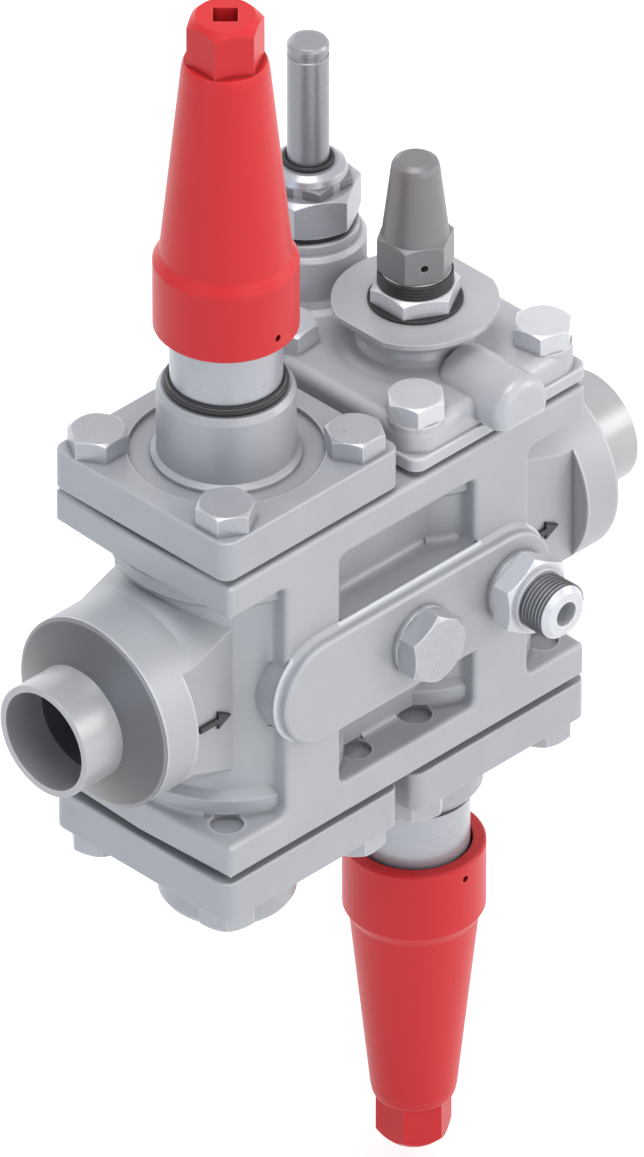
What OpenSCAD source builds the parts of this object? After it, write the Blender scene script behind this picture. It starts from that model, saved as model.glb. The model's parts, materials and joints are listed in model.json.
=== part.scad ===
// Refrigeration valve station: one cast body with four function modules between two weld ends.
// The origin is the centre of the inlet pipe's end face, +X runs along the flow and +Z is up.

/* [Pipe ends] */
// Outside diameter of the weld pipe end
pipe_od = 42.4; // [38:0.1:48.3]
// Wall of the weld pipe end
pipe_wall = 2.6; // [2:0.1:4]
// Distance between the two pipe end faces
total_l = 270; // [262:1:300]
// Length of the straight pipe end
pipe_len = 17.5; // [12:0.5:20]
// Length of the cone between hub and pipe end
weld_cone_len = 7; // [4:0.5:9]
// Diameter of the round hub on the body
hub_d = 72; // [68:0.5:76]
// Depth of the locating spigot of the weld end in the hub
stub_spigot = 6; // [3:0.5:9]
// Wall of the locating spigot
stub_spigot_wall = 5; // [3:0.5:8]

/* [Body] */
// Length of the body block along the flow
body_l = 177.8; // [176:0.2:186]
// Width of the body block across the flow
body_w = 85.8; // [84:0.2:92]
// Height of the body block
body_h = 123; // [118:1:135]
// Amount by which each end face falls back at the front and the back
end_draft = 1.9; // [0.8:0.1:3]
// Thickness of the bolting flanges
flange_t = 13.5; // [11:0.5:16]
// Radius on the outer edges of the casting
edge_r = 2; // [1:0.5:3]
// Distance between the two module axes
pitch = 92.2; // [91:0.2:96]
// Diameter of the round columns
column_d = 75; // [70:1:80]
// Diameter of the collar where a column meets a flange
collar_d = 81; // [77:1:83]
// Height of the collar
collar_h = 6.6; // [4:0.2:9]
// Thickness of the web between the columns
web_t = 56; // [46:1:60]
// Width of the ribs on the module axes
rib_w = 26.4; // [20:0.4:32]
// Radius in the inner corners of the windows
window_r = 3; // [2:0.5:4]
// Slope of the cone that joins hub and column
hub_slope = 0.25; // [0.1:0.05:0.3]
// Distance of the flat hub pads from the pipe axis
pad_y = 28; // [24:0.5:31]
// Distance from the pad's outer end to the hub's end face
pad_end = 15; // [10:0.5:18]

/* [Chambers] */
// Diameter of the module bores
bore_d = 54; // [50:0.5:58]
// Thickness of the wall between upper and lower bore
partition_t = 16; // [12:0.5:20]
// Diameter of the valve seat opening
seat_d = 30; // [24:0.5:34]
// Wall of the seat rings
seat_wall = 5; // [3:0.5:6]
// Height by which a seat ring stands proud of the wall
seat_lip = 2; // [1:0.5:3]
// Depth to which a seat ring is pressed in
seat_press = 3; // [2:0.5:4]
// Diameter of the inclined flow passages
passage_d = 22; // [18:0.5:23]
// Diameter of the cross passage between the modules
cross_d = 18; // [14:0.5:20]

/* [Front bar] */
// Height of the front bar
bar_h = 39.6; // [36:0.2:44]
// Distance of the bar's end radii from the module axes
bar_in = 1.1; // [0:0.1:4]
// Amount by which the bar stands proud of the ribs
bar_proud = 5.1; // [3:0.1:8]
// Thread diameter of the plug in the bar
plug_d = 14; // [10:0.5:16]
// Width across flats of the plug
plug_af = 24; // [20:0.5:27]
// Height of the plug's head
plug_head = 8.5; // [6:0.5:10]
// Width across flats of the gauge connector
gauge_af = 27; // [24:0.5:32]
// Height of the gauge connector's hexagon
gauge_hex = 8; // [6:0.5:10]
// Thread diameter of the gauge connector
gauge_thread = 20.4; // [16:0.2:22]
// Length of the gauge connector's outer thread
gauge_len = 14; // [10:0.5:18]
// Bore of the gauge connector
gauge_bore = 9.4; // [6:0.2:11]
// Thickness of the sealing washers
washer_t = 2; // [1.5:0.1:3]

/* [Covers] */
// Width of the square covers
cover_w = 85.5; // [84:0.5:90]
// Corner radius of the covers
cover_r = 5; // [3:0.5:7]
// Thickness of the covers
cover_t = 15.8; // [13:0.2:18]
// Gap between body and cover
cover_gap = 2.5; // [1.8:0.1:3.5]
// Thickness of the flat cover gaskets
gasket_t = 1.5; // [1:0.1:1.7]
// Outside diameter of the gasket face
gasket_d = 70; // [66:0.5:72]
// Diameter of the ring recess in the covers
recess_d = 68.6; // [66:0.2:70]
// Depth of the ring recess
recess_depth = 2; // [1:0.2:4]
// Diameter of the step at the foot of the boss
foot_d = 52.6; // [51:0.2:56]
// Diameter of the round boss
boss_d = 48.5; // [46:0.5:50]
// Height of the boss above the cover
boss_h = 27.4; // [24:0.2:32]
// Depth to which the cover's spigot reaches below the body's face
spigot_depth = 9.5; // [7:0.5:11]

/* [Bolts] */
// Bolt diameter
bolt_d = 12; // [10:0.5:13]
// Width across flats of the bolt heads
bolt_af = 19; // [17:0.5:20]
// Height of the bolt heads
bolt_head = 7.7; // [6:0.1:9]
// Side of the square on which the bolts stand
bolt_square = 62.5; // [61:0.5:64]
// Clearance of the bolts in the covers, on the diameter
bolt_play = 1; // [0.5:0.1:1.5]
// Distance from a bolt's end to the flange's inner face
bolt_short = 1.8; // [0.5:0.1:4]

/* [Stop valve] */
// Diameter of the gland neck under the red cap
neck_d = 39.3; // [37:0.1:41]
// Height of the gland's collar
gland_collar_h = 2.4; // [1.5:0.1:4]
// Visible length of the neck
neck_show = 22.3; // [16:0.1:28]
// Length of the neck inside the cap
neck_in_cap = 16.1; // [14.5:0.1:20]
// Diameter of the gland's lower thread
gland_thread = 32; // [29:0.5:34]
// Depth of the gland's lower thread
gland_depth = 12; // [8:0.5:15]
// Height of the packing
packing_h = 10; // [7:0.5:12]
// Diameter of the spindle's thread
spindle_thread = 18; // [16:0.5:20]
// Diameter of the spindle's plain part
stem_d = 14; // [12:0.5:15]
// Height of the spindle's end above the gland
stem_show = 62; // [50:1:68]
// Side of the square on the spindle's end
stem_square = 9; // [7:0.5:9.5]
// Length of the square on the spindle's end
square_len = 15; // [10:0.5:20]
// Height of the valve cone's disc
cone_disc_h = 6; // [4:0.5:8]
// Height of the valve cone's hub
cone_hub_h = 18; // [14:0.5:20]
// Lift of the valve cone when open
cone_lift = 12; // [8:0.5:14]

/* [Seal cap] */
// Diameter of the cap's skirt
skirt_d = 50.7; // [48:0.1:54]
// Height of the skirt
skirt_h = 27.1; // [24:0.1:32]
// Height of the bevel over the skirt
bevel_h = 4.3; // [3:0.1:6]
// Diameter at the foot of the cap's cone
cap_cone_d = 46; // [42:0.5:48]
// Height of the cap's cone
cap_cone_h = 74.1; // [68:0.5:80]
// Diameter at the top of the cap's cone
cap_top_d = 30.8; // [29.5:0.1:33]
// Height of the rounded shoulder
shoulder_h = 3.9; // [2:0.1:6]
// Width across flats of the cap's hexagon
cap_af = 24; // [21:0.5:24.5]
// Height of the cap's hexagon
cap_hex_h = 18.4; // [14:0.2:22]
// Side of the square socket in the hexagon
cap_socket = 8.5; // [7:0.5:10]
// Depth of the square socket
cap_socket_depth = 11; // [8:0.5:13]
// Wall of the cap's cone
cap_wall = 6; // [4:0.5:7]
// Diameter of the vent hole
vent_d = 2.6; // [2:0.1:3.5]
// Distance of the vent hole from the rim
vent_up = 5.9; // [4.5:0.1:8]
// Thickness of the cap's gasket
cap_gasket_t = 2; // [1.5:0.1:3]

/* [Strainer] */
// Outside diameter of the screen
screen_d = 40; // [36:0.5:42]
// Wall of the screen
screen_t = 1; // [0.8:0.1:1.5]
// Diameter of the screen's holes
screen_hole = 4; // [3:0.2:5]
// Thickness of the screen's end ring
end_ring_t = 3; // [2:0.2:4]
// Thread diameter of the drain plug
drain_d = 14; // [10:0.5:18]
// Height of the drain plug's head
drain_head = 6; // [4:0.5:7]

/* [Solenoid module] */
// Corner radius of the cast cover
cast_r = 9.5; // [7:0.5:11]
// Radius on the upper edge of the cast cover
cast_edge = 4.5; // [2:0.5:5]
// Height of the lower lip of the cast cover
lip_h = 5.5; // [4:0.5:8]
// Amount by which the lip stands out
lip_out = 1.2; // [0.5:0.1:2]
// Diameter of the round bolt faces
seat_face_d = 20.4; // [18:0.2:20.4]
// Diameter of the front lug
lug_d = 25; // [22:0.5:28]
// Distance of the lug's end face from the module axis
lug_reach = 54; // [50:0.5:58]
// Distance of the rear boss from the module axis
coil_y = 52.4; // [51:0.2:55]
// Diameter of the rear boss
coil_boss_d = 41; // [38:0.5:44]
// Height of the rear boss above the cover's base
coil_boss_h = 37; // [32:0.5:42]
// Height of the neck under the nameplate
neck_h = 15.2; // [13:0.2:18]
// Diameter of the neck at its waist
waist_d = 36; // [32:0.5:38]
// Diameter of the blank nameplate
plate_d = 58.4; // [54:0.2:60]
// Distance between the nameplate's flats
plate_flats = 54.4; // [50:0.2:57]
// Thickness of the nameplate
plate_t = 2; // [1:0.1:3]
// Width across flats of the gland nut
nut_af = 28; // [26:0.5:30]
// Height of the gland nut's hexagon
nut_h = 7.6; // [6:0.2:10]
// Diameter of the collar over the gland nut
nut_collar_d = 25; // [24:0.5:26]
// Height of the collar over the gland nut
nut_collar_h = 5.8; // [4:0.2:8]
// Width across flats of the spindle cap
dark_af = 24; // [21:0.5:24]
// Height of the spindle cap's hexagon
dark_hex_h = 14.7; // [12:0.1:18]
// Height of the spindle cap's cone
dark_cone_h = 27.7; // [24:0.1:32]
// Diameter at the top of the spindle cap's cone
dark_top_d = 17; // [15:0.5:19]
// Diameter of the manual spindle
manual_d = 10; // [8:0.5:11]
// Lift of the bleed needle
needle_lift = 5; // [3:0.5:5.5]
// Diameter of the piston
piston_d = 40; // [36:0.5:42]
// Lift of the piston
piston_lift = 8; // [5:0.5:9]
// Wire of the piston spring
spring_wire = 1.8; // [1.2:0.1:2.4]
// Width across flats of the tube nut
tube_nut_af = 33; // [30:0.5:36]
// Height of the tube nut
tube_nut_h = 15; // [12:0.5:18]
// Diameter of the armature tube
tube_d = 14.8; // [13:0.1:17]
// Length of the armature tube above its nut
tube_len = 58; // [50:0.5:66]
// Wall of the armature tube
tube_wall = 1.2; // [0.8:0.1:1.6]
// Length of the armature
armature_len = 40; // [30:0.5:44]
// Lift of the armature
armature_lift = 3; // [1.5:0.1:4]

/* [Fits] */
// Radial play of threads and sliding fits
fit = 0.05; // [0.02:0.01:0.08]
// Radial play of plain through holes
loose = 0.5; // [0.3:0.1:0.8]

/* [Hidden] */
$fn = 64;
over = 1;
body_top = body_h / 2;
ledge = body_top - flange_t;
half_l = body_l / 2;
half_w = body_w / 2;
half_pitch = pitch / 2;
column_r = column_d / 2;
bore_r = bore_d / 2;
hub_end = total_l / 2 - pipe_len - weld_cone_len;
pipe_r = pipe_od / 2;
pipe_bore_r = pipe_r - pipe_wall;
bar_face = half_w + bar_proud;
bar_x = half_pitch - bar_in;
cover_base = body_top + cover_gap;
cover_top = cover_base + cover_t;
boss_top = cover_top + boss_h;
boss_chamfer = 2.3;
foot_h = 1;
spigot_end = body_top - spigot_depth;
spigot_r = bore_r - 0.1;
seat_top = partition_t / 2 + seat_lip;
seat_r = seat_d / 2;
seat_out_r = seat_r + seat_wall;
bolt_at = bolt_square / 2;
bolt_end = ledge + bolt_short;
neck_base = boss_top + gland_collar_h;
cap_rim = neck_base + neck_show;
neck_top = cap_rim + neck_in_cap;
thread_len = neck_in_cap - 4;
gland_end = boss_top - gland_depth;
packing_base = gland_end - packing_h;
packing_r = gland_thread / 2 - 2;
stem_r = stem_d / 2;
spindle_r = spindle_thread / 2;
cone_top = seat_top + cone_disc_h + cone_hub_h;
thread_top = packing_base - cone_lift - 1;
stem_top = neck_top + stem_show;
skirt_top = cap_rim + skirt_h;
cone_foot = skirt_top + bevel_h;
cone_head = cone_foot + cap_cone_h;
hex_foot = cone_head + shoulder_h;
cap_end = hex_foot + cap_hex_h;
cap_shoulder = neck_top + cap_gasket_t;
cap_seat_r = neck_d / 2 - 5;
dark_base = cover_top + neck_h + plate_t + nut_h + nut_collar_h;
plate_base = cover_top + neck_h;
coil_top = cover_base + coil_boss_h;
tube_nut_base = coil_top + 6;
tube_nut_top = tube_nut_base + tube_nut_h;
tube_top = tube_nut_top + tube_len;
tube_r = tube_d / 2;
tube_in_r = tube_r - tube_wall;
piston_r = piston_d / 2;
guide_len = 14;
guide_base = spigot_end - guide_len;
steel = "#a6a9b0";
cast = "#9da3ae";
bright = "#c3c6cd";
red = "#d8383c";
dark = "#6e6e71";
brass = "#b9a36a";
rubber = "#2b2b2d";
white = "#e6e4dc";

// Places: the body's centre, and the four modules with their own axis as Z
module centred() translate([total_l / 2, 0, 0]) children();
module at_m1() centred() translate([-half_pitch, 0, 0]) children();
module at_m2() centred() translate([-half_pitch, 0, 0]) mirror([0, 0, 1]) children();
module at_m3() centred() translate([half_pitch, 0, 0]) children();
module at_m4() centred() translate([half_pitch, 0, 0]) mirror([0, 0, 1]) children();

// General shapes
module up(z) translate([0, 0, z]) children();
module turned(points) rotate_extrude() polygon(points);
module along_x() rotate([0, 90, 0]) children();
module to_front() rotate([90, 0, 0]) children();

module tube(z0, z1, outer, inner) {
    difference() {
        up(z0) cylinder(h = z1 - z0, r = outer);
        up(z0 - over) cylinder(h = z1 - z0 + 2 * over, r = inner);
    }
}

// Hexagon with its corners turned off at the top, and at the foot where asked
module hexagon(af, h, foot = false) {
    corner = af / sqrt(3);
    face = af / 2 - 0.2;
    drop = (corner - face) * tan(30);
    low = foot ? face : corner;
    lift = foot ? drop : 0;
    intersection() {
        rotate(30) cylinder(h = h, r = corner, $fn = 6);
        turned([[0, 0], [low, 0], [corner, lift], [corner, h - drop], [face, h], [0, h]]);
    }
}

module square_ring(at) for (x = [-at, at], y = [-at, at]) translate([x, y, 0]) children();

module bolt_holes(z0, z1, r) up(z0) square_ring(bolt_at) cylinder(h = z1 - z0, r = r);

// Four bolts, each head turned to its own angle
module bolts(turns) {
    places = [[-1, -1], [1, -1], [1, 1], [-1, 1]];
    for (i = [0:3]) {
        translate([places[i][0] * bolt_at, places[i][1] * bolt_at, cover_top]) rotate(turns[i]) {
            hexagon(bolt_af, bolt_head);
            up(bolt_end - cover_top) cylinder(h = cover_top - bolt_end + over, r = bolt_d / 2 - fit);
        }
    }
}

// Plate with round vertical corners and all edges rounded by edge
module soft_plate(hx, hy, corner, edge, z0, z1) {
    for (x = [-1, 1], y = [-1, 1]) {
        translate([x * (hx - corner), y * (hy - corner), 0]) soft_disc(corner, edge, z0, z1);
    }
    rotate([90, 0, 90]) linear_extrude(2 * (hx - corner), center = true) soft_rect(hy, edge, z0, z1);
    rotate([90, 0, 0]) linear_extrude(2 * (hy - corner), center = true) soft_rect(hx, edge, z0, z1);
}

module soft_rect(half, edge, z0, z1) {
    for (x = [-1, 1], z = [z0 + edge, z1 - edge]) translate([x * (half - edge), z]) circle(r = edge, $fn = 32);
    translate([-half, z0 + edge]) square([2 * half, z1 - z0 - 2 * edge]);
    translate([edge - half, z0]) square([2 * (half - edge), z1 - z0]);
}

module soft_disc(r, edge, z0, z1) {
    rotate_extrude() intersection() {
        soft_rect(r, edge, z0, z1);
        translate([0, z0]) square([r, z1 - z0]);
    }
}

// Body block: each quarter of the plan has its own sloping end face
end_tilt = atan(end_draft / half_w);
corner_y = half_w - edge_r;
corner_x = half_l - corner_y * tan(end_tilt) - edge_r / cos(end_tilt);

module plan_quarter() {
    polygon([
        [0, 0], [half_l, 0],
        [corner_x + edge_r * cos(end_tilt), corner_y + edge_r * sin(end_tilt)],
        [corner_x, corner_y], [corner_x, half_w], [0, half_w]
    ]);
    translate([corner_x, corner_y]) circle(r = edge_r, $fn = 32);
}

module flange_quarter(z0, z1) {
    intersection() {
        up(z0) linear_extrude(z1 - z0) plan_quarter();
        rotate([90, 0, 90]) linear_extrude(body_l) soft_rect(half_w, edge_r, z0, z1);
        translate([half_l, 0, 0]) rotate(end_tilt) translate([-half_l, 0, 0]) {
            rotate([90, 0, 0]) linear_extrude(2 * body_w, center = true) soft_rect(half_l, edge_r, z0, z1);
        }
    }
}

module flange() {
    for (x = [0, 1], y = [0, 1]) mirror([x, 0, 0]) mirror([0, y, 0]) flange_quarter(ledge, body_top);
}

// Round column with a collar at each end
module column() {
    slope_h = collar_d / 2 - column_r;
    for (side = [0, 1]) {
        mirror([0, 0, side]) turned([
            [0, 0], [column_r, 0], [column_r, ledge - collar_h - slope_h], [collar_d / 2, ledge - collar_h],
            [collar_d / 2, ledge + over], [0, ledge + over]
        ]);
    }
}

// Rib across the column, with rounded upright edges
module rib() {
    up(-ledge - edge_r) linear_extrude(2 * (ledge + edge_r)) {
        for (x = [-1, 1], y = [-1, 1]) {
            translate([x * (rib_w / 2 - edge_r), y * (half_w - edge_r)]) circle(r = edge_r, $fn = 32);
        }
        square([rib_w - 2 * edge_r, 2 * half_w], center = true);
        square([rib_w, 2 * (half_w - edge_r)], center = true);
    }
}

// Rounded inner corner of a window, with the front edge carried round it
module window_corner() {
    reach = window_r + edge_r;
    translate([rib_w / 2 + window_r, 0, ledge - window_r]) to_front() difference() {
        up(web_t / 2 + over) linear_extrude(half_w - web_t / 2 - over) difference() {
            translate([-reach, 0]) square(reach);
            circle(r = window_r);
        }
        rotate_extrude() difference() {
            translate([0, half_w - edge_r]) square([reach, edge_r + over]);
            translate([reach, half_w - edge_r]) circle(r = edge_r, $fn = 32);
        }
    }
}

module window_corners() {
    for (x = [0, 1], y = [0, 1], z = [0, 1]) {
        mirror([x, 0, 0]) mirror([0, y, 0]) mirror([0, 0, z]) window_corner();
    }
}

// Pipe hub with the cone that joins it to the column, and a flat pad at front and back
hub_straight = 20.5;
hub_cone_len = 26;
module hub() {
    cone_end = hub_end - hub_straight - hub_cone_len;
    difference() {
        along_x() turned([
            [0, cone_end], [hub_d / 2 + hub_slope * hub_cone_len, cone_end],
            [hub_d / 2, hub_end - hub_straight], [hub_d / 2, hub_end], [0, hub_end]
        ]);
        for (y = [-1, 1]) {
            translate([cone_end - over, y * (pad_y + half_w / 2) - half_w / 2, -ledge]) {
                cube([hub_end - pad_end - cone_end + over, half_w, 2 * ledge]);
            }
        }
    }
}

// Bar with round ends on the front, its foot flared into the ribs
module long_round(y0, y1, r0, r1) {
    for (x = [-bar_x, bar_x]) translate([x, 0, 0]) to_front() up(y0) cylinder(h = y1 - y0, r1 = r0, r2 = r1);
    along_x() linear_extrude(2 * bar_x, center = true) {
        polygon([[-r0, -y0], [-r1, -y1], [r1, -y1], [r0, -y0]]);
    }
}

bar_flare = 1.8;
bar_edge = 0.8;
module bar() {
    r = bar_h / 2;
    long_round(web_t / 2 - over, bar_face - bar_edge, r, r);
    long_round(half_w, half_w + bar_flare, r + bar_flare, r);
    long_round(bar_face - bar_edge, bar_face, r, r - bar_edge);
}

// Flow passage from the pipe bore at the hub up into a module bore
passage_rise = 28;
passage_setback = 1.5;
passage_reach = 12;
bore_runout = 5;
module inclined_passage() {
    start = hub_end - stub_spigot + passage_setback;
    run = start - half_pitch - passage_reach;
    translate([start, 0, 0]) rotate([0, -atan2(run, passage_rise), 0]) {
        cylinder(h = norm([run, passage_rise]), r = passage_d / 2);
    }
}

module pipe_bore() {
    along_x() up(hub_end - stub_spigot - bore_runout) cylinder(h = stub_spigot + bore_runout + over, r = pipe_bore_r + loose);
    along_x() up(hub_end - stub_spigot) {
        cylinder(h = stub_spigot + over, r = pipe_bore_r + stub_spigot_wall + fit);
    }
    inclined_passage();
}

module seat_bore() up(partition_t / 2 - seat_press) cylinder(h = seat_press + over, r = seat_out_r);

gauge_in_r = 8;
gauge_in_len = 16;
plug_len = 18;
port_r = 3;
module ports() {
    to_front() up(bar_face - plug_len - over) cylinder(h = plug_len + 2 * over, r = plug_d / 2);
    to_front() cylinder(h = bar_face, r = port_r);
    translate([half_pitch, 0, 0]) to_front() {
        up(bar_face - gauge_in_len) cylinder(h = gauge_in_len + over, r = gauge_in_r);
        up(seat_r - over) cylinder(h = bar_face - seat_r, r = port_r);
    }
}

cross_overrun = 5;
cross_slope = 1.2;
module valve_body() {
    cross_x = half_pitch - bore_r + cross_overrun;
    color(cast) centred() difference() {
        union() {
            flange();
            mirror([0, 0, 1]) flange();
            translate([-half_pitch, -web_t / 2, -ledge - over]) cube([pitch, web_t, 2 * ledge + 2 * over]);
            for (x = [-half_pitch, half_pitch]) translate([x, 0, 0]) {
                column();
                rib();
                window_corners();
            }
            hub();
            mirror([1, 0, 0]) hub();
            bar();
        }
        for (x = [-half_pitch, half_pitch]) translate([x, 0, 0]) {
            up(partition_t / 2) cylinder(h = body_top, r = bore_r);
            up(-partition_t / 2 - body_top) cylinder(h = body_top, r = bore_r);
            up(-partition_t) cylinder(h = 2 * partition_t, r = seat_r);
            seat_bore();
            bolt_holes(ledge - over, body_top + over, bolt_d / 2);
            bolt_holes(-body_top - over, over - ledge, bolt_d / 2);
        }
        translate([half_pitch, 0, 0]) mirror([0, 0, 1]) seat_bore();
        mirror([1, 0, 0]) pipe_bore();
        mirror([0, 0, 1]) pipe_bore();
        rotate([0, atan2(cross_x, cross_x * cross_slope), 0]) {
            cylinder(h = 2 * norm([cross_x, cross_x * cross_slope]), r = cross_d / 2, center = true);
        }
        ports();
    }
}

// Weld ends
module weld_stub() {
    end = total_l / 2;
    spigot = pipe_bore_r + stub_spigot_wall;
    along_x() turned([
        [pipe_bore_r, hub_end - stub_spigot], [spigot, hub_end - stub_spigot], [spigot, hub_end],
        [hub_d / 2, hub_end], [pipe_r, hub_end + weld_cone_len], [pipe_r, end], [pipe_bore_r, end]
    ]);
}

module inlet_stub() color(steel) centred() mirror([1, 0, 0]) weld_stub();
module outlet_stub() color(steel) centred() weld_stub();

// Fittings on the front bar
washer_r = 13;
plug_end_gap = 2;
gauge_land = 1.3;
gauge_land_len = 1.5;
gauge_lead = 2;
module plug() {
    color(bright) centred() to_front() {
        up(bar_face + washer_t) hexagon(plug_af, plug_head);
        up(bar_face - plug_len + plug_end_gap) cylinder(h = plug_len + washer_t, r = plug_d / 2 - fit);
    }
}

module plug_washer() color(bright) centred() to_front() tube(bar_face, bar_face + washer_t, washer_r, plug_d / 2);

module gauge_connector() {
    foot = bar_face + washer_t;
    hex_base = foot + washer_t;
    thread = hex_base + gauge_hex;
    land_r = gauge_thread / 2 + gauge_land;
    color(bright) at_m3() to_front() difference() {
        union() {
            up(hex_base) hexagon(gauge_af, gauge_hex);
            turned([
                [0, bar_face - gauge_in_len], [gauge_in_r - fit, bar_face - gauge_in_len], [gauge_in_r - fit, foot],
                [washer_r, foot], [washer_r, hex_base + over], [land_r, hex_base + over],
                [land_r, thread + gauge_land_len], [gauge_thread / 2, thread + gauge_land_len],
                [gauge_thread / 2, thread + gauge_len - gauge_lead],
                [gauge_thread / 2 - gauge_lead, thread + gauge_len],
                [0, thread + gauge_len]
            ]);
        }
        up(bar_face - gauge_in_len - over) cylinder(h = 3 * (gauge_in_len + gauge_len), r = gauge_bore / 2);
    }
}

module gauge_washer() color(bright) at_m3() to_front() tube(bar_face, bar_face + washer_t, washer_r, gauge_in_r);

// Square cover with a round boss; the bores depend on the module
module cover_blank() {
    foot_r = foot_d / 2;
    boss_r = boss_d / 2;
    recess_z = cover_top - recess_depth;
    difference() {
        union() {
            soft_plate(cover_w / 2, cover_w / 2, cover_r, 0.8, cover_base, cover_top);
            up(body_top + gasket_t) cylinder(h = cover_gap, r = gasket_d / 2);
            up(spigot_end) cylinder(h = cover_base - spigot_end + over, r = spigot_r);
        }
        tube(recess_z, cover_top + over, recess_d / 2, boss_r - over);
        bolt_holes(body_top, cover_top + over, (bolt_d + bolt_play) / 2);
    }
    turned([
        [0, recess_z - over], [foot_r, recess_z - over], [foot_r, cover_top - 0.5], [boss_r, cover_top + foot_h],
        [boss_r, boss_top - boss_chamfer], [boss_r - 1.5, boss_top], [0, boss_top]
    ]);
}

module stop_cover() {
    difference() {
        cover_blank();
        up(spigot_end - over) cylinder(h = boss_top, r = spindle_r + fit);
        up(packing_base) cylinder(h = boss_top, r = packing_r);
        up(gland_end) cylinder(h = boss_top, r = gland_thread / 2);
    }
}

module strainer_cover() {
    difference() {
        cover_blank();
        up(spigot_end - over) cylinder(h = boss_top, r = drain_d / 2);
    }
}

module flat_gasket() tube(body_top, body_top + gasket_t, gasket_d / 2, bore_r);

// Stop valve parts
module gland() {
    difference() {
        turned([
            [0, gland_end], [gland_thread / 2 - fit, gland_end], [gland_thread / 2 - fit, boss_top],
            [neck_d / 2 + 1.2, boss_top], [neck_d / 2 + 1.2, neck_base], [neck_d / 2, neck_base],
            [neck_d / 2, neck_top - 0.8], [neck_d / 2 - 0.8, neck_top], [0, neck_top]
        ]);
        up(gland_end - over) cylinder(h = boss_top, r = stem_r + loose);
    }
}

module packing() tube(packing_base, gland_end, packing_r, stem_r + fit);

module spindle() {
    tip = seat_top + cone_disc_h + 2;
    turned([
        [0, tip], [stem_r, tip], [stem_r, cone_top + 2], [spindle_r, cone_top + 4], [spindle_r, thread_top - 2],
        [stem_r, thread_top], [stem_r, stem_top - square_len], [0, stem_top - square_len]
    ]);
    up(stem_top - square_len - over) intersection() {
        linear_extrude(square_len + over) square(stem_square, center = true);
        cylinder(h = square_len + over, r1 = stem_square + 4, r2 = stem_square / 2 + 1);
    }
}

seal_in = 0.5;
seal_out = 3.5;
seal_t = 2.5;
nose_h = 4;
module cone_seal() tube(seat_top, seat_top + seal_t, seat_r + seal_out, seat_r - seal_in);

module seal_groove() tube(seat_top - over, seat_top + seal_t, seat_r + seal_out, seat_r - seal_in);

module cone() {
    hub_r = stem_r + 4;
    disc_r = seat_out_r - 0.5;
    difference() {
        turned([
            [0, seat_top - nose_h], [seat_r - 2.5, seat_top - nose_h], [seat_r - 1, seat_top], [disc_r, seat_top],
            [disc_r, seat_top + cone_disc_h - 1], [hub_r + 2, seat_top + cone_disc_h],
            [hub_r, seat_top + cone_disc_h + 2], [hub_r, cone_top], [0, cone_top]
        ]);
        up(seat_top + cone_disc_h + 1) cylinder(h = cone_hub_h, r = stem_r + fit);
        seal_groove();
    }
}

module seat_ring() {
    low = partition_t / 2 - seat_press;
    turned([
        [seat_r, low], [seat_out_r - fit, low], [seat_out_r - fit, seat_top - 1],
        [seat_out_r - 1, seat_top], [seat_r, seat_top]
    ]);
}

module seal_cap() {
    neck_r = neck_d / 2;
    socket_floor = cap_end - cap_socket_depth;
    difference() {
        union() {
            turned([
                [0, cap_rim], [skirt_d / 2 - 0.8, cap_rim], [skirt_d / 2, cap_rim + 0.8], [skirt_d / 2, skirt_top],
                [cap_cone_d / 2, cone_foot], [cap_top_d / 2, cone_head],
                [cap_top_d / 2 - 0.5, hex_foot - shoulder_h / 3], [cap_top_d / 2 - 1.1, hex_foot], [0, hex_foot]
            ]);
            up(hex_foot - over) intersection() {
                hexagon(cap_af, cap_hex_h + over);
                cylinder(h = cap_hex_h + over, r1 = cap_hex_h + cap_af / 2 - 0.6, r2 = cap_af / 2 - 1.6);
            }
        }
        turned([
            [0, cap_rim - over], [neck_r + 1.5, cap_rim - over], [neck_r + loose, cap_rim + 1],
            [neck_r + loose, neck_top - thread_len], [neck_r + fit, neck_top - thread_len],
            [neck_r + fit, cap_shoulder], [neck_r - 4, cap_shoulder],
            [cap_top_d / 2 - cap_wall, cone_head - cap_wall - 3], [0, cone_head - cap_wall - 3]
        ]);
        up(socket_floor) rotate(45) linear_extrude(cap_socket_depth + over) square(cap_socket, center = true);
        up(cap_rim + vent_up) to_front() cylinder(h = skirt_d, r = vent_d / 2);
    }
}

module cap_gasket() tube(neck_top, cap_shoulder, neck_d / 2 - 0.6, cap_seat_r);

module m1_cover() color(steel) at_m1() stop_cover();
module m1_cover_gasket() color(rubber) at_m1() flat_gasket();
module m1_bolts() color(bright) at_m1() bolts([0, 30, 15, 30]);
module m1_gland() color(steel) at_m1() gland();
module m1_packing() color(white) at_m1() packing();
module m1_spindle() color(bright) at_m1() spindle();
module m1_cone() color(steel) at_m1() cone();
module m1_cone_seal() color(white) at_m1() cone_seal();
module m1_seat_ring() color(bright) at_m1() seat_ring();
module m1_seal_cap() color(red) at_m1() seal_cap();
module m1_cap_gasket() color(rubber) at_m1() cap_gasket();

module m4_cover() color(steel) at_m4() stop_cover();
module m4_cover_gasket() color(rubber) at_m4() flat_gasket();
module m4_bolts() color(bright) at_m4() bolts([10, 25, 0, 40]);
module m4_gland() color(steel) at_m4() gland();
module m4_packing() color(white) at_m4() packing();
module m4_spindle() color(bright) at_m4() spindle();
module m4_cone() color(steel) at_m4() cone();
module m4_cone_seal() color(white) at_m4() cone_seal();
module m4_seat_ring() color(bright) at_m4() seat_ring();
module m4_seal_cap() color(red) at_m4() seal_cap();
module m4_cap_gasket() color(rubber) at_m4() cap_gasket();

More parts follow.
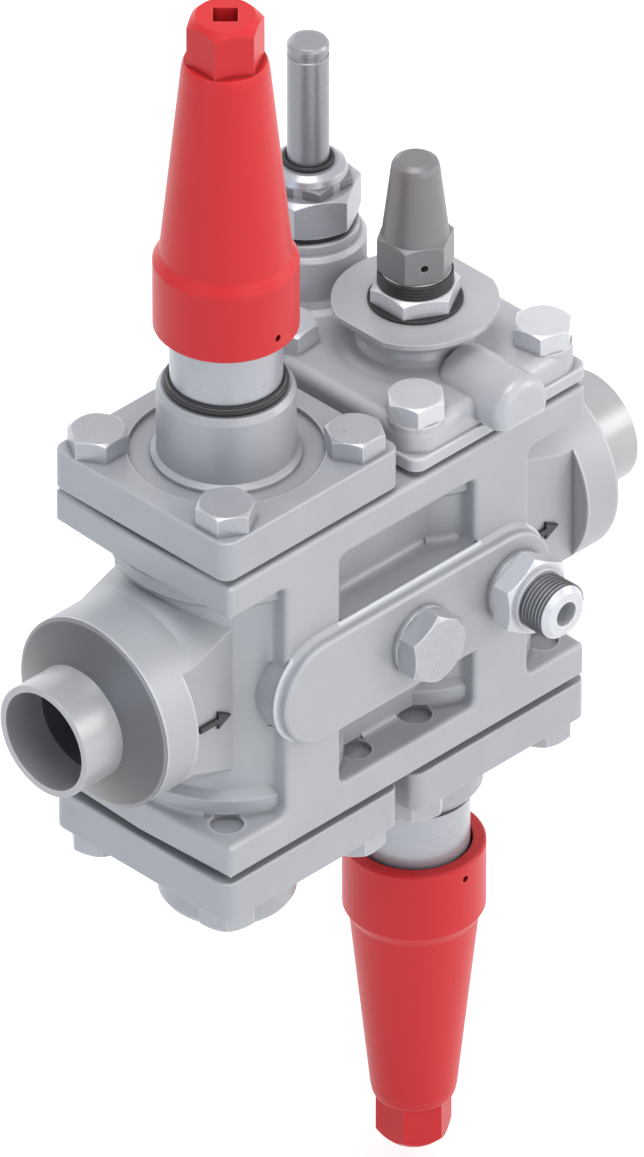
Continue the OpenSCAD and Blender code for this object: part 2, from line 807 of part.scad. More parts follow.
// Strainer
screen_base = partition_t / 2 + end_ring_t;
screen_rows = 6;
screen_columns = 10;
drain_washer_t = 1.5;
module m2_cover() color(steel) at_m2() strainer_cover();
module m2_cover_gasket() color(rubber) at_m2() flat_gasket();
module m2_bolts() color(bright) at_m2() bolts([15, 35, 5, 20]);

module m2_screen() {
    row_step = (spigot_end - screen_base - 2) / screen_rows;
    turn_step = 360 / screen_columns;
    color(bright) at_m2() difference() {
        up(screen_base) cylinder(h = spigot_end - screen_base, r = screen_d / 2);
        up(screen_base - over) cylinder(h = spigot_end - screen_base, r = screen_d / 2 - screen_t);
        for (row = [0:screen_rows - 1], turn = [0:screen_columns - 1]) {
            up(screen_base + (row + 0.5) * row_step) rotate((turn + row % 2 / 2) * turn_step) {
                to_front() up(screen_d / 2 - 3 * screen_t) cylinder(h = 5 * screen_t, r = screen_hole / 2);
            }
        }
    }
}

module m2_end_ring() {
    color(steel) at_m2() tube(partition_t / 2, screen_base, spigot_r, screen_d / 2 - screen_t);
}

module m2_drain_plug() {
    color(bright) at_m2() {
        up(boss_top + drain_washer_t) hexagon(plug_af - 2, drain_head);
        up(boss_top - plug_len) cylinder(h = plug_len + drain_washer_t + over, r = drain_d / 2 - fit);
    }
}

module m2_drain_washer() {
    color(bright) at_m2() tube(boss_top, boss_top + drain_washer_t, plug_af / 2 - 1, drain_d / 2);
}

// Solenoid module
lug_drop = 4.3;
lug_z = cover_top - lug_drop;
lug_floor = lug_z - 3.5;
lug_root = 20;
step_r = 27;
step_w = 3;
step_h = 1.2;
neck_r = waist_d / 2;
coil_shoulder = 4;
nipple_r = 12;
nipple_top = tube_nut_base + 7;
nut_thread_r = 9;
nut_thread_len = 14;
needle_r = manual_d / 2 - loose;
needle_depth = 8;
needle_len = 8;
needle_seat = cover_base + needle_depth;
needle_top = needle_seat + needle_len;
pilot_r = 1.5;
pilot_z = needle_seat + 3;
orifice_base = coil_top - 5;
orifice_seat = coil_top + 7;
cap_nipple_r = 8;
cap_nipple_h = 9.6;
manual_rise = 22;
manual_top = dark_base + manual_rise;

module cast_cover_outside() {
    half = cover_w / 2;
    soft_plate(half, half, cover_r, 0.8, cover_base, cover_base + lip_h);
    soft_plate(half - lip_out, half - lip_out, cast_r, cast_edge, cover_base + lip_h - cast_edge, cover_top);
    up(cover_base + lip_h) square_ring(bolt_at) cylinder(h = cover_t - lip_h, r = seat_face_d / 2);
    turned([
        [0, cover_top - step_h], [step_r, cover_top - step_h], [step_r, cover_top],
        [step_r - step_w, cover_top + step_h], [neck_r + step_w, cover_top + 1.6 * step_h],
        [neck_r + 1, cover_top + 3 * step_h], [neck_r, cover_top + 5 * step_h], [neck_r, plate_base - 5],
        [neck_r + 1.5, plate_base - 1.8], [neck_r + 3, plate_base], [0, plate_base]
    ]);
    intersection() {
        up(lug_z) to_front() soft_disc(lug_d / 2, cast_edge, lug_root, lug_reach);
        translate([-lug_d, -2 * lug_reach, lug_floor]) cube([2 * lug_d, 2 * lug_reach, lug_d]);
    }
    coil_boss();
    up(body_top + gasket_t) cylinder(h = cover_gap, r = gasket_d / 2);
    up(guide_base) cylinder(h = cover_base - guide_base + over, r = spigot_r);
}

module coil_boss() {
    r = coil_boss_d / 2;
    low = cover_base + 2;
    translate([0, coil_y, 0]) turned([
        [0, low], [r + 2, low], [r + 4, low + 2], [r + 4, cover_top], [r + 1.2, cover_top + 1.2],
        [r, cover_top + 4], [r, coil_top - 1.5], [r - 1.5, coil_top], [r - 2.7, coil_top],
        [r - 2.7, coil_top + coil_shoulder], [nipple_r, coil_top + coil_shoulder], [nipple_r, nipple_top],
        [0, nipple_top]
    ]);
}

module m3_cover() {
    color(cast) at_m3() difference() {
        cast_cover_outside();
        bolt_holes(body_top, cover_top + over, (bolt_d + bolt_play) / 2);
        up(guide_base - over) cylinder(h = cover_base - guide_base + over, r = piston_r + fit);
        up(cover_base - over) cylinder(h = needle_seat, r = pilot_r);
        up(needle_seat) cylinder(h = cover_t, r = manual_d / 2 + loose);
        up(plate_base - nut_thread_len) cylinder(h = nut_thread_len + over, r = nut_thread_r);
        up(pilot_z) rotate([-90, 0, 0]) cylinder(h = coil_y, r = pilot_r);
        translate([0, coil_y, 0]) {
            up(pilot_z) cylinder(h = coil_boss_h, r = pilot_r);
            up(orifice_base) cylinder(h = coil_boss_h, r = tube_in_r);
        }
    }
}

module m3_cover_gasket() color(rubber) at_m3() flat_gasket();
module m3_bolts() color(bright) at_m3() bolts([20, 10, 0, 35]);
module m3_seat_ring() color(bright) at_m3() seat_ring();

module m3_nameplate() {
    color(steel) at_m3() up(plate_base) linear_extrude(plate_t) difference() {
        intersection() {
            circle(r = plate_d / 2, $fn = 96);
            square([plate_flats, plate_d + over], center = true);
        }
        circle(r = nut_thread_r);
    }
}

module m3_gland_nut() {
    base = plate_base + plate_t;
    color(bright) at_m3() difference() {
        union() {
            up(base) hexagon(nut_af, nut_h);
            turned([
                [0, plate_base - nut_thread_len], [nut_thread_r - fit, plate_base - nut_thread_len],
                [nut_thread_r - fit, base + over], [nut_collar_d / 2, base + over],
                [nut_collar_d / 2, dark_base], [cap_nipple_r, dark_base],
                [cap_nipple_r, dark_base + cap_nipple_h - 0.8], [cap_nipple_r - 0.8, dark_base + cap_nipple_h],
                [0, dark_base + cap_nipple_h]
            ]);
        }
        up(plate_base - nut_thread_len - over) cylinder(h = 2 * cover_top, r = manual_d / 2 + fit);
    }
}

module m3_needle() {
    color(bright) at_m3() turned([
        [0, needle_seat - 0.8], [0.6, needle_seat - 0.8], [pilot_r - 0.1, needle_seat], [needle_r, needle_seat + 4],
        [needle_r, needle_top], [0, needle_top]
    ]);
}

module m3_spindle() {
    r = manual_d / 2;
    flat = 8;
    color(bright) at_m3() {
        up(needle_top) cylinder(h = manual_top - flat - needle_top, r = r);
        up(manual_top - flat - over) linear_extrude(flat + over) square(r * 1.2, center = true);
    }
}

dark_gasket_t = 1.5;
dark_gasket_r = 10.6;
module m3_spindle_cap() {
    cone_z = dark_base + dark_hex_h;
    top = cone_z + dark_cone_h;
    top_r = dark_top_d / 2;
    bore = manual_d / 2 + 0.8;
    color(dark) at_m3() difference() {
        union() {
            up(dark_base) hexagon(dark_af, dark_hex_h, foot = true);
            turned([
                [0, cone_z - over], [dark_af / 2 - 0.2, cone_z - over], [dark_af / 2 - 0.2, cone_z], [top_r, top],
                [top_r - 0.7, top + 1.6], [top_r - 2.8, top + 2.8], [0, top + 2.8]
            ]);
        }
        up(dark_base - over) cylinder(h = over + dark_gasket_t, r = dark_gasket_r);
        up(dark_base) cylinder(h = cap_nipple_h + 1.4, r = cap_nipple_r + fit);
        up(dark_base) cylinder(h = manual_top + needle_lift + 2.6 - dark_base, r = bore);
        up(dark_base + 6.6) rotate(-30) to_front() cylinder(h = dark_af, r = 1.4);
    }
}

module m3_cap_gasket() {
    color(rubber) at_m3() tube(dark_base, dark_base + dark_gasket_t, dark_gasket_r, cap_nipple_r + fit);
}

piston_floor = guide_base;
piston_top = cover_base - piston_lift - 2;
module m3_piston() {
    disc_r = seat_out_r - 0.5;
    body_r = piston_r - 5;
    color(bright) at_m3() difference() {
        turned([
            [0, seat_top - nose_h], [seat_r - 2.5, seat_top - nose_h], [seat_r - 1, seat_top], [disc_r, seat_top],
            [disc_r, seat_top + 4], [body_r, seat_top + 8], [body_r, guide_base - 8], [piston_r, guide_base - 4],
            [piston_r, piston_top], [0, piston_top]
        ]);
        up(piston_floor) cylinder(h = piston_top, r = piston_r - 3.5);
        seal_groove();
    }
}

module m3_piston_seal() color(white) at_m3() cone_seal();

// Coil spring: a ring of points is carried along a helix
module coil_spring(z0, z1, mean_r, wire_r, turns) {
    sides = 6;
    steps = 16 * turns;
    rise = (z1 - z0 - 2 * wire_r) / steps;
    points = [
        for (i = [0:steps], k = [0:sides - 1])
            let (a = 360 * i / 16, b = 360 * k / sides, r = mean_r + wire_r * cos(b))
                [r * cos(a), r * sin(a), z0 + wire_r + i * rise + wire_r * sin(b)]
    ];
    first = [for (k = [0:sides - 1]) sides - 1 - k];
    last = [for (k = [0:sides - 1]) steps * sides + k];
    walls = [
        for (i = [0:steps - 1], k = [0:sides - 1])
            let (n = (k + 1) % sides)
                [i * sides + k, i * sides + n, (i + 1) * sides + n, (i + 1) * sides + k]
    ];
    polyhedron(concat(points), concat([last], [first], walls), convexity = 8);
}

module m3_piston_spring() {
    color(bright) at_m3() coil_spring(piston_floor, cover_base, piston_r - 6, spring_wire / 2, 5);
}

armature_top = orifice_seat + armature_len;
armature_spring_h = 9;
core_base = armature_top + armature_lift + armature_spring_h;
module m3_orifice() {
    color(brass) at_m3() translate([0, coil_y, 0]) difference() {
        turned([
            [0, orifice_base], [tube_in_r - fit, orifice_base], [tube_in_r - fit, orifice_seat - 2],
            [2.5, orifice_seat - 1], [2, orifice_seat], [0, orifice_seat]
        ]);
        up(orifice_base - over) cylinder(h = coil_boss_h, r = 1);
    }
}

module m3_tube_gasket() {
    color(white) at_m3() translate([0, coil_y, 0]) {
        tube(coil_top + coil_shoulder, tube_nut_base, tube_nut_af / 2 - 0.5, nipple_r + fit);
    }
}

module m3_tube_nut() {
    collar_r = tube_nut_af / 2 - 2.6;
    collar_h = 8;
    color(steel) at_m3() translate([0, coil_y, 0]) difference() {
        union() {
            up(tube_nut_base) hexagon(tube_nut_af, tube_nut_h, foot = true);
            turned([
                [0, tube_nut_top - over], [collar_r, tube_nut_top - over], [collar_r, tube_nut_top + collar_h - 3.5],
                [collar_r - 0.8, tube_nut_top + collar_h - 1.5], [collar_r - 3, tube_nut_top + collar_h],
                [0, tube_nut_top + collar_h]
            ]);
        }
        up(tube_nut_base - over) cylinder(h = nipple_top - tube_nut_base + 3 + over, r = nipple_r + fit);
        up(tube_nut_base) cylinder(h = tube_nut_h + collar_h + over, r = tube_r + fit);
    }
}

module m3_tube() {
    groove = tube_top - 6;
    color(steel) at_m3() translate([0, coil_y, 0]) difference() {
        turned([
            [0, nipple_top], [nipple_r, nipple_top], [nipple_r, nipple_top + 3], [tube_r, nipple_top + 3],
            [tube_r, groove], [tube_r - 0.6, groove + 0.4], [tube_r - 0.6, groove + 2.2], [tube_r, groove + 2.6],
            [tube_r, tube_top - 1.6], [tube_r - 0.8, tube_top - 0.5], [tube_r - 2.4, tube_top], [0, tube_top]
        ]);
        up(nipple_top - over) cylinder(h = core_base - nipple_top + over, r = tube_in_r);
    }
}

module m3_armature() {
    r = tube_in_r - 0.08;
    color(steel) at_m3() translate([0, coil_y, 0]) turned([
        [0, orifice_seat], [r - 0.6, orifice_seat], [r, orifice_seat + 0.6], [r, armature_top], [0, armature_top]
    ]);
}

module m3_armature_spring() {
    color(bright) at_m3() translate([0, coil_y, 0]) coil_spring(armature_top, core_base, tube_in_r - 1.6, 0.45, 5);
}

valve_body();
inlet_stub();
outlet_stub();
plug();
plug_washer();
gauge_connector();
gauge_washer();
m1_cover();
m1_cover_gasket();
m1_bolts();
m1_gland();
m1_packing();
m1_spindle();
m1_cone();
m1_cone_seal();
m1_seat_ring();
m1_seal_cap();
m1_cap_gasket();
m2_cover();
m2_cover_gasket();
m2_bolts();
m2_screen();
m2_end_ring();
m2_drain_plug();
m2_drain_washer();
m3_cover();
m3_cover_gasket();
m3_bolts();
m3_nameplate();
m3_gland_nut();
m3_spindle();
m3_needle();
m3_spindle_cap();
m3_cap_gasket();
m3_piston();
m3_piston_seal();
m3_piston_spring();
m3_seat_ring();
m3_orifice();
m3_tube_gasket();
m3_tube_nut();
m3_tube();
m3_armature();
m3_armature_spring();
m4_cover();
m4_cover_gasket();
m4_bolts();
m4_gland();
m4_packing();
m4_spindle();
m4_cone();
m4_cone_seal();
m4_seat_ring();
m4_seal_cap();
m4_cap_gasket();
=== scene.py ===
"""Looks of the refrigeration valve station: finishes, fine detail, light and camera."""
import json
import math
import bmesh
import bpy
from mathutils import Matrix, Vector


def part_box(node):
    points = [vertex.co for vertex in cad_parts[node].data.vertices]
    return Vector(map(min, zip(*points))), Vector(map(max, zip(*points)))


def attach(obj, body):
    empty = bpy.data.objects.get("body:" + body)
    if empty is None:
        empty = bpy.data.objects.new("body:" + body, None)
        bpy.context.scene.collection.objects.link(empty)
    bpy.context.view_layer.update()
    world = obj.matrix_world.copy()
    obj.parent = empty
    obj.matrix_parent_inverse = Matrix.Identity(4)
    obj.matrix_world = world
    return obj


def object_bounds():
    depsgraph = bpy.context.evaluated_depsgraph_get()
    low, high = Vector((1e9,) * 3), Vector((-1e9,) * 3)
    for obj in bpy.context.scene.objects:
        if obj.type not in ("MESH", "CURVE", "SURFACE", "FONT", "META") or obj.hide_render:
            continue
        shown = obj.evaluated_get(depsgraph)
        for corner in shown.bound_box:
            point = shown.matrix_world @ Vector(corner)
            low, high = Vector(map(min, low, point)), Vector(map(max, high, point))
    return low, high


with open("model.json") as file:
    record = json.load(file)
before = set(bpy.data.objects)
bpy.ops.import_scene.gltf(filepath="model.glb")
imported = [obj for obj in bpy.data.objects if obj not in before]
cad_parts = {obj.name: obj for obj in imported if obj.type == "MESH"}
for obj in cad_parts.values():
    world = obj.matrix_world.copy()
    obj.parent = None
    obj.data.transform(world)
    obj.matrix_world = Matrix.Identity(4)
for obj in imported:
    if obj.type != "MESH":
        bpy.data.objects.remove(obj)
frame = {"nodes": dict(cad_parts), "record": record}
cad_box = [list(corner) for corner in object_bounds()]
MM = 0.001
X, Y = 0, 1


def middle(box, axis):
    """Middle of a box along one axis."""
    low, high = box
    return (low[axis] + high[axis]) / 2


# Boxes and places taken from the frame, in metres
COVER_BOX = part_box("m1_cover")
PLATE_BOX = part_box("m3_nameplate")
TUBE_NUT_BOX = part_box("m3_tube_nut")
CENTRE_X = middle(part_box("valve_body"), X)
M1_X = middle(COVER_BOX, X)
M3_X = middle(PLATE_BOX, X)
GAUGE_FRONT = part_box("gauge_connector")[0].y
OUTLET_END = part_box("outlet_stub")[1].x

# The floor lies a little below the part, because the lower cap comes down by 12 mm
CAP_ROOM = 12.5 * MM
FLOOR_Z = cad_box[0][2] - CAP_ROOM


# Small helpers for node trees
class Tree:
    """A node tree with short calls for adding and joining nodes."""

    def __init__(self, tree):
        self.tree = tree
        self.column = 0

    def add(self, kind, inputs=None, **settings):
        node = self.tree.nodes.new(kind)
        self.column += 1
        node.location = (self.column * 180, -(self.column % 4) * 160)
        for name, value in settings.items():
            setattr(node, name, value)
        for key, value in (inputs or {}).items():
            if isinstance(value, bpy.types.NodeSocket):
                self.tree.links.new(value, node.inputs[key])
            else:
                node.inputs[key].default_value = value
        return node

    def math(self, operation, first, second=0.0, third=0.0):
        node = self.add("ShaderNodeMath", {0: first, 1: second, 2: third}, operation=operation)
        return node.outputs[0]

    def link(self, start, end):
        self.tree.links.new(start, end)


def open_group(name, inputs, outputs, kind="ShaderNodeTree"):
    """A node group with named sockets: (name, socket type, default)."""
    group = bpy.data.node_groups.new(name, kind)
    for title, socket, default in inputs:
        made = group.interface.new_socket(title, in_out="INPUT", socket_type=socket)
        if default is not None:
            made.default_value = default
    for title, socket in outputs:
        group.interface.new_socket(title, in_out="OUTPUT", socket_type=socket)
    tree = Tree(group)
    return group, tree, tree.add("NodeGroupInput"), tree.add("NodeGroupOutput")


# Shared effects
def make_grain_group():
    """Fine grain over slow mottling, for cast and blasted steel."""
    group, tree, enter, leave = open_group(
        "surface_grain",
        [("Grain Size", "NodeSocketFloat", 900.0), ("Mottle Size", "NodeSocketFloat", 40.0),
         ("Mottle", "NodeSocketFloat", 0.5)],
        [("Height", "NodeSocketFloat"), ("Tone", "NodeSocketFloat")],
    )
    place = tree.add("ShaderNodeTexCoord").outputs["Object"]
    grain = tree.add("ShaderNodeTexNoise", {"Vector": place, "Scale": enter.outputs["Grain Size"],
                                            "Detail": 4.0, "Roughness": 0.6})
    mottle = tree.add("ShaderNodeTexNoise", {"Vector": place, "Scale": enter.outputs["Mottle Size"],
                                             "Detail": 3.0, "Roughness": 0.5})
    pits = tree.add("ShaderNodeTexVoronoi", {"Vector": place, "Scale": tree.math(
        "MULTIPLY", enter.outputs["Grain Size"], 0.45)})
    pit_edge = tree.math("SMOOTH_MIN", pits.outputs["Distance"], 0.35, 0.1)
    pit_depth = tree.math("MULTIPLY", pit_edge, 0.8)
    height = tree.math("ADD", grain.outputs["Fac"], pit_depth)
    centred = tree.math("SUBTRACT", mottle.outputs["Fac"], 0.5)
    tone = tree.math("MULTIPLY_ADD", centred, enter.outputs["Mottle"], 0.5)
    fine = tree.math("MULTIPLY", tree.math("SUBTRACT", grain.outputs["Fac"], 0.5), 0.25)
    tree.link(height, leave.inputs["Height"])
    tree.link(tree.math("ADD", tone, fine), leave.inputs["Tone"])
    return group


MASK_SAMPLES = 6
# Occlusion at which a mask starts and at which it is full
EDGE_START, EDGE_FULL = 0.93, 0.5
CREVICE_START, CREVICE_FULL = 0.88, 0.35


def make_edge_group():
    """Rounded edges, a mask that is bright on outer edges, where finishes paint wear and a highlight, and
    one that is bright in crevices, where they paint shade.
    """
    group, tree, enter, leave = open_group(
        "soft_edges",
        [("Radius", "NodeSocketFloat", 0.0006), ("Wear Reach", "NodeSocketFloat", 0.0012),
         ("Crevice Reach", "NodeSocketFloat", 0.0028)],
        [("Normal", "NodeSocketVector"), ("Edge", "NodeSocketFloat"), ("Crevice", "NodeSocketFloat")],
    )
    rounded = tree.add("ShaderNodeBevel", {"Radius": enter.outputs["Radius"]}, samples=MASK_SAMPLES)
    # This occlusion mask drives the lighter outer edges: partly wear, partly a painted highlight
    within = tree.add("ShaderNodeAmbientOcclusion", {"Distance": enter.outputs["Wear Reach"]},
                      samples=MASK_SAMPLES, inside=True, only_local=True)
    mask = tree.add("ShaderNodeMapRange", {"Value": within.outputs["AO"], "From Min": EDGE_START,
                                           "From Max": EDGE_FULL})
    # This occlusion mask drives the painted shade in crevices
    outside = tree.add("ShaderNodeAmbientOcclusion", {"Distance": enter.outputs["Crevice Reach"]},
                       samples=MASK_SAMPLES)
    painted_shade = tree.add("ShaderNodeMapRange", {"Value": outside.outputs["AO"], "From Min": CREVICE_START,
                                            "From Max": CREVICE_FULL})
    tree.link(rounded.outputs[0], leave.inputs["Normal"])
    tree.link(mask.outputs["Result"], leave.inputs["Edge"])
    tree.link(painted_shade.outputs["Result"], leave.inputs["Crevice"])
    return group


def make_turning_group():
    """Fine tool marks that run round a turned piece, as rings along one axis."""
    group, tree, enter, leave = open_group(
        "turning_marks",
        [("Along", "NodeSocketVector", (0.0, 0.0, 1.0)), ("Pitch Scale", "NodeSocketFloat", 1400.0)],
        [("Height", "NodeSocketFloat"), ("Tone", "NodeSocketFloat")],
    )
    place = tree.add("ShaderNodeTexCoord").outputs["Object"]
    along = tree.add("ShaderNodeVectorMath", {0: place, 1: enter.outputs["Along"]},
                     operation="DOT_PRODUCT").outputs["Value"]
    rings = tree.add("ShaderNodeTexNoise", {"W": along, "Scale": enter.outputs["Pitch Scale"],
                                            "Detail": 2.0}, noise_dimensions="1D")
    bands = tree.add("ShaderNodeTexNoise", {"W": along, "Scale": 160.0, "Detail": 2.0},
                     noise_dimensions="1D")
    tree.link(rings.outputs["Fac"], leave.inputs["Height"])
    tree.link(tree.math("ADD", tree.math("MULTIPLY", rings.outputs["Fac"], 0.6),
                        tree.math("MULTIPLY", bands.outputs["Fac"], 0.4)), leave.inputs["Tone"])
    return group


PIPE_LONG = 17.5 * MM
CONE_BLEND = 0.2 * MM


def make_cone_group():
    """Mask of all that lies nearer the middle than the pipe ends, which on a stub is its weld cone."""
    group, tree, _, leave = open_group("weld_cones", [], [("Mask", "NodeSocketFloat")])
    place = tree.add("ShaderNodeTexCoord").outputs["Object"]
    x = tree.add("ShaderNodeSeparateXYZ", {"Vector": place}).outputs["X"]
    from_centre = tree.math("ABSOLUTE", tree.math("SUBTRACT", x, CENTRE_X))
    pipe_start = OUTLET_END - CENTRE_X - PIPE_LONG
    inside = tree.add("ShaderNodeMapRange", {"Value": from_centre, "From Min": pipe_start + CONE_BLEND,
                                             "From Max": pipe_start})
    tree.link(inside.outputs["Result"], leave.inputs["Mask"])
    return group


GRAIN = make_grain_group()
CONES = make_cone_group()
EDGES = make_edge_group()
TURNING = make_turning_group()


def place_group(tree, group, **values):
    """Puts a group into a tree; Grain_Size sets the input Grain Size."""
    node = tree.add("ShaderNodeGroup", node_tree=group)
    for name, value in values.items():
        node.inputs[name.replace("_", " ")].default_value = value
    return node


def linear(hex_colour):
    """A written sRGB colour as linear values with alpha."""
    parts = [int(hex_colour[i:i + 2], 16) / 255 for i in (1, 3, 5)]
    return tuple(p / 12.92 if p <= 0.04045 else ((p + 0.055) / 1.055) ** 2.4 for p in parts) + (1.0,)


def blank_material(name):
    material = bpy.data.materials.new(name)
    material.use_nodes = True
    material.node_tree.nodes.clear()
    tree = Tree(material.node_tree)
    shader = tree.add("ShaderNodeBsdfPrincipled")
    out = tree.add("ShaderNodeOutputMaterial")
    tree.link(shader.outputs[0], out.inputs["Surface"])
    return material, tree, shader


# Places of the colour sockets on a Mix node
MIX_FACTOR, MIX_FIRST, MIX_SECOND, MIX_RESULT = 0, 6, 7, 2


def blend_colour(tree, mask, low, high):
    node = tree.add("ShaderNodeMix", {MIX_FACTOR: mask}, data_type="RGBA")
    for key, value in ((MIX_FIRST, low), (MIX_SECOND, high)):
        if isinstance(value, bpy.types.NodeSocket):
            tree.link(value, node.inputs[key])
        else:
            node.inputs[key].default_value = value
    return node.outputs[MIX_RESULT]


# Painted shade: the share of the low colour that crevices are darkened towards
CREVICE_SHADE = 0.16
SMOOTHER, ROUGHER = 0.07, 0.08
# Reach of the edge mask, which carries wear and a painted highlight, per millimetre of edge radius
EDGE_REACH = 1.5
RELIEF = 0.2 * MM


def finish(name, low, high, edge, metallic, roughness, bump, edge_radius=0.5, grain_size=900.0,
           mottle_size=45.0, mottle=0.7, along=None, specular=0.5, painted_shade=0.5, wear_and_highlight=0.75, bands=None):
    """A surface whose colour wanders between low and high, lighter on outer edges, partly as wear and
    partly as a painted highlight, and darker in crevices as painted shade.

    along gives tool marks as rings along an axis, and bands is the colour of the weld cones.
    edge_radius is in millimetres."""
    material, tree, shader = blank_material(name)
    grain = place_group(tree, GRAIN, Grain_Size=grain_size, Mottle_Size=mottle_size, Mottle=mottle)
    edges = place_group(tree, EDGES, Radius=edge_radius * MM, Wear_Reach=edge_radius * EDGE_REACH * MM)
    tone, height = grain.outputs["Tone"], grain.outputs["Height"]
    if along:
        marks = place_group(tree, TURNING, Along=along)
        tone = tree.math("ADD", tree.math("MULTIPLY", tone, 0.5),
                         tree.math("MULTIPLY", marks.outputs["Tone"], 0.5))
        height = marks.outputs["Height"]
    body = blend_colour(tree, tone, linear(low), linear(high))
    if bands:
        body = blend_colour(tree, place_group(tree, CONES).outputs["Mask"], body, linear(bands))
    # Outer edges are lightened towards the edge colour: partly wear, partly a painted highlight
    worn_and_highlit = blend_colour(tree, tree.math("MULTIPLY", edges.outputs["Edge"], wear_and_highlight), body, linear(edge))
    # Crevices found by occlusion are darkened towards shade_colour: painted shade
    shade_colour = tuple(c * CREVICE_SHADE for c in linear(low)[:3]) + (1.0,)
    shaded_colour = blend_colour(tree, tree.math("MULTIPLY", edges.outputs["Crevice"], painted_shade), worn_and_highlit, shade_colour)
    tree.link(shaded_colour, shader.inputs["Base Color"])
    shader.inputs["Metallic"].default_value = metallic
    shader.inputs["Specular IOR Level"].default_value = specular
    rough = tree.add("ShaderNodeMapRange", {"Value": tone, "To Min": roughness - SMOOTHER,
                                            "To Max": roughness + ROUGHER})
    tree.link(rough.outputs["Result"], shader.inputs["Roughness"])
    relief = tree.add("ShaderNodeBump", {"Strength": bump, "Distance": RELIEF, "Height": height,
                                         "Normal": edges.outputs["Normal"]})
    tree.link(relief.outputs[0], shader.inputs["Normal"])
    return material


ALONG_X, ALONG_Y, ALONG_Z = (1.0, 0.0, 0.0), (0.0, 1.0, 0.0), (0.0, 0.0, 1.0)
# The third colour of each finish is its edge colour, partly wear and partly a painted highlight; the
# crevice amount sets the painted shade in crevices
CAST_STEEL = finish("cast_steel", "#9c9ea3", "#aeb0b5", "#d9dce2", 0.15, 0.42, 0.35, edge_radius=0.9,
                    painted_shade=0.6)
FILLET_STEEL = finish("cast_fillet_steel", "#9c9ea3", "#aeb0b5", "#aeb0b5", 0.15, 0.42, 0.35,
                      edge_radius=0.2, painted_shade=0.4, wear_and_highlight=0.0)
PALE_CASTING = finish("pale_casting", "#a6a8ae", "#b8babf", "#e0e2e7", 0.15, 0.38, 0.3, edge_radius=0.9,
                      painted_shade=0.6)
COVER_STEEL = finish("cover_steel", "#989aa0", "#aaacb2", "#d6d9df", 0.2, 0.38, 0.22, edge_radius=0.5,
                     grain_size=1300.0, painted_shade=0.6)
STUB_STEEL = finish("stub_steel", "#9d9da1", "#b4b4b8", "#dadade", 0.35, 0.3, 0.12, along=ALONG_X,
                    wear_and_highlight=0.2, bands="#5c5c5f")
TURNED_STEEL = finish("turned_steel", "#9d9fa6", "#b3b5bc", "#dcdfe4", 0.35, 0.28, 0.02, along=ALONG_Z)
TUBE_STEEL = finish("tube_steel", "#84868c", "#989aa0", "#c9cbd0", 0.35, 0.28, 0.015, along=ALONG_Z)
BRIGHT_STEEL = finish("bright_steel", "#9c9ea4", "#b1b3b9", "#dfe1e6", 0.3, 0.28, 0.08, grain_size=1800.0)
ZINC_STEEL = finish("zinc_steel", "#bfc1c7", "#d0d2d8", "#ececf0", 0.25, 0.28, 0.08, grain_size=1800.0)
FRONT_STEEL = finish("front_turned_steel", "#a2a4a9", "#b7b9be", "#d4d6da", 0.3, 0.3, 0.08, along=ALONG_Y)
ARROW_PAINT = finish("dark_arrow_paint", "#2c2d30", "#3a3b3e", "#6c6d70", 0.0, 0.5, 0.2, edge_radius=0.2,
                     painted_shade=0.2, wear_and_highlight=0.15)
THREAD_STEEL = finish("thread_steel", "#3f4043", "#5b5c60", "#8f9095", 0.4, 0.4, 0.05, edge_radius=0.2)
RED_CAP = finish("red_cap_enamel", "#c2262a", "#cd2d31", "#e04347", 0.0, 0.38, 0.06, edge_radius=0.5,
                 grain_size=600.0, mottle_size=25.0, mottle=0.5, specular=0.25, painted_shade=0.8)
DARK_CAP = finish("dark_cap_steel", "#6c6c6f", "#7f7f83", "#9c9ca0", 0.2, 0.38, 0.1, along=ALONG_Z)
PLATE_METAL = finish("plate_metal", "#a9a8ae", "#b6b5bb", "#cbcbd0", 0.25, 0.38, 0.1, edge_radius=0.3,
                     grain_size=2200.0)
RUBBER = finish("black_rubber", "#1a1b1d", "#232427", "#313236", 0.0, 0.5, 0.1, edge_radius=0.2,
                grain_size=1500.0, painted_shade=0.2)
GASKET = finish("fibre_gasket", "#232427", "#303135", "#3c3d41", 0.0, 0.75, 0.3, grain_size=1500.0)
SEALING = finish("white_sealing", "#d8d5cb", "#e6e3da", "#efede6", 0.0, 0.5, 0.08)
BRASS = finish("brass", "#b08f4e", "#c4a35f", "#d9bd80", 0.6, 0.32, 0.08, along=ALONG_Z)

BY_SLOT = {
    "cast_steel": CAST_STEEL, "machined_steel": TURNED_STEEL, "stub_steel": STUB_STEEL,
    "bright_steel": BRIGHT_STEEL, "red_cap": RED_CAP, "dark_cap": DARK_CAP, "nameplate": PLATE_METAL,
    "gasket": GASKET, "sealing": SEALING, "brass": BRASS,
}
BY_NODE = {
    "m3_cover": PALE_CASTING, "m3_bolts": ZINC_STEEL, "m3_gland_nut": ZINC_STEEL,
    "gauge_connector": ZINC_STEEL, "m3_tube": TUBE_STEEL,
    "m1_cover": COVER_STEEL, "m2_cover": COVER_STEEL, "m4_cover": COVER_STEEL,
    "plug_washer": FRONT_STEEL, "gauge_washer": FRONT_STEEL,
}


def dress_nodes():
    for part in frame["record"]["subparts"]:
        node = frame["nodes"][part["node"]]
        node.data.materials.clear()
        node.data.materials.append(BY_NODE.get(part["node"], BY_SLOT[part["material_slot"]]))


# Pieces
def add_piece(name, mesh, material, body):
    piece = bpy.data.objects.new(name, mesh)
    bpy.context.scene.collection.objects.link(piece)
    if not mesh.materials:
        mesh.materials.append(material)
    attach(piece, body)


